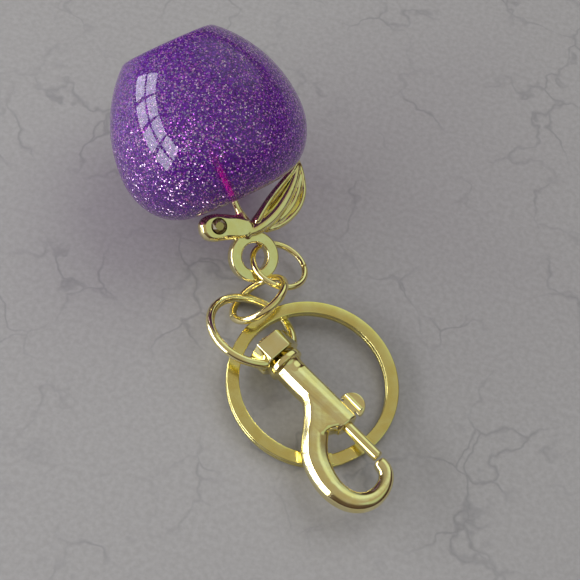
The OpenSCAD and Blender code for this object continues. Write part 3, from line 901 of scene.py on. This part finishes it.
def thumb_piece():
    """A half-round blade with a ridge along its foot, on a neck that runs into the pin."""
    middle = NECK_FROM + NECK_L / 2 + 0.15
    radius = 2.35
    foot = 2.6
    outline = fillet([(middle + radius, foot)] + arc((middle, foot + 0.3), radius, 4, 176, 28)
                     + [(middle - radius, foot)], 0.3, 3, closed=True)
    centre = Vector((middle, foot + radius * 0.42))
    top = 0.38
    rings = []
    for z, scale in ((-0.7, 0.84), (-0.6, 0.95), (-0.35, 1.0), (0.1, 1.0), (0.3, 0.95), (top, 0.84)):
        rings.append([tuple(centre + (Vector(p) - centre) * scale) + (z,) for p in outline])

    def ridge_section(i):
        taper = 1.0 if i in (1, 2) else 0.5
        return [(u * 0.42 * taper, v * 0.5 * taper) for u, v in round_section(1, 20)]

    ridge = [(middle + k * radius, foot + 1.0, 0.35) for k in (-0.9, -0.82, 0.72, 0.8)]
    piece = solid("thumb_piece", skin(rings))
    combine(piece, solid("ridge", sweep(ridge, ridge_section)), "UNION")
    neck = block("neck", (NECK_FROM, 0.2, -NECK_T / 2), (NECK_FROM + NECK_L, foot + 0.5, top))
    combine(piece, neck, "UNION")
    finish_piece(piece, TAB, "pin", ["thumb_tab"], GOLD_CAST, 35)


def coil_spring():
    """Nine turns of wire between the end of the bore and the pin's tail."""
    start = SPRING_ROOM_FROM + 0.15
    end = PIN_TAIL - 0.15
    turns = 9
    coil_r = 0.84
    wire_r = 0.13
    steps = turns * 28
    along = Vector((1, 0, 0))
    rings = []
    for i in range(steps + 1):
        a = 2 * math.pi * turns * i / steps
        out = Vector((0, math.cos(a), math.sin(a)))
        centre = along * (start + (end - start) * i / steps) + out * coil_r
        rings.append([centre + out * u + along * v for u, v in round_section(wire_r, 10)])
    piece = solid("coil_spring", skin(rings))
    finish_piece(piece, HOOK, "hook", ["spring"], STEEL, 60)
    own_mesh(piece)


resin_fruit()
glue()
peg()
leaf_stem()
stone()
jump_ring("jump_ring_small", "small_ring", ring_frame("jump_ring_small", 19.5, 53.7), 11, 1.12, -30)
jump_ring("jump_ring_large", "large_ring", ring_frame("jump_ring_large", 48.5, 159.1), 12, 1.36, 60)
split_ring()
swivel_eye()
swivel_rivet()
hook_casting()
sliding_pin()
thumb_piece()
coil_spring()


# ---------- table, light and camera ----------

def table():
    reach = 1.5
    corners = [(-reach, -reach, 0), (reach, -reach, 0), (reach, reach, 0), (-reach, reach, 0)]
    floor = solid("table_floor", (corners, [(0, 1, 2, 3)]))
    floor.data.materials.append(table_top())


def soft_light(name, azimuth, elevation, distance, width, height, watts, colour):
    """A rectangular light that faces the object, at an azimuth counted from +X towards +Y."""
    a = math.radians(azimuth)
    e = math.radians(elevation)
    out = Vector((math.cos(a) * math.cos(e), math.sin(a) * math.cos(e), math.sin(e)))
    data = bpy.data.lights.new(name, "AREA")
    data.shape = "RECTANGLE"
    data.size = width
    data.size_y = height
    data.energy = watts
    data.color = colour
    lamp = bpy.data.objects.new(name, data)
    lamp.location = Vector((-0.02, 0.02, 0.01)) + out * distance
    lamp.rotation_euler = (-out).to_track_quat("-Z", "Y").to_euler()
    bpy.context.scene.collection.objects.link(lamp)
    return lamp


def lights():
    # A divided soft box on the left, whose panes show as a curved reflection in the resin
    for column in range(4):
        for row in range(2):
            soft_light(f"pane_{column}_{row}", 171 + 19 * column, 9 + 15 * row, 0.6, 0.165, 0.13, 0.56,
                       (0.94, 0.96, 1.0))
    overhead = soft_light("overhead", 58, 52, 0.9, 0.7, 0.7, 3.3, (0.97, 0.99, 1.0))
    overhead.visible_glossy = False


def surroundings():
    """A grey room for diffuse light. Reflections see its ceiling, its pale patches and its dark sides."""
    room = bpy.data.worlds.new("room")
    bpy.context.scene.world = room
    w = Nodes(room, "ShaderNodeOutputWorld")
    view = w.add("ShaderNodeTexCoord").outputs["Generated"]
    height = w.add("ShaderNodeSeparateXYZ", {0: view}).outputs["Z"]
    mirrored = w.ramp(height, [(0.0, (0.07, 0.045, 0.045)), (0.2, (0.06, 0.035, 0.04)),
                               (0.42, (0.10, 0.07, 0.06)), (0.68, (0.32, 0.29, 0.24)),
                               (0.92, (0.40, 0.36, 0.29))])
    # Pale patches: (direction, cosine where each starts, cosine where it is full, colour)
    patches = [((0.14, 0.8, 0.59), 0.86, 0.95, (0.70, 0.80, 0.66)),
               ((0.68, -0.14, 0.72), 0.82, 0.96, (0.45, 0.53, 0.41))]
    for direction, start, full, colour in patches:
        nearness = w.vector("DOT_PRODUCT", view, tuple(Vector(direction).normalized()))
        mirrored = w.mix(w.smooth(nearness, start, full), mirrored, opaque(colour))
    plain = w.add("ShaderNodeBackground", {"Color": opaque((0.80, 0.80, 0.82)), "Strength": 0.6})
    mirror = w.add("ShaderNodeBackground", {"Color": mirrored})
    glossy = w.add("ShaderNodeLightPath").outputs["Is Glossy Ray"]
    w.finish(w.blend(glossy, plain.outputs[0], mirror.outputs[0]))


def camera():
    """Looks steeply down at the table, with its own right side raised by the roll."""
    elevation = math.radians(60.98)
    roll = math.radians(15.19)
    target = Vector((-0.007844, 0.0175, 0))
    distance = 0.26
    back = Vector((0, -math.cos(elevation), math.sin(elevation)))
    level = Vector((1, 0, 0))
    rise = back.cross(level)
    right = level * math.cos(roll) + rise * math.sin(roll)
    turn = Matrix((right, back.cross(right), back)).transposed().to_4x4()
    data = bpy.data.cameras.new("camera")
    data.lens = 90.6
    data.sensor_width = 36
    data.clip_start = 0.01
    view = bpy.data.objects.new("camera", data)
    view.matrix_world = Matrix.Translation(target + back * distance) @ turn
    bpy.context.scene.collection.objects.link(view)
    bpy.context.scene.camera = view
    bpy.context.scene.view_settings.view_transform = "Standard"


table()
lights()
surroundings()
camera()
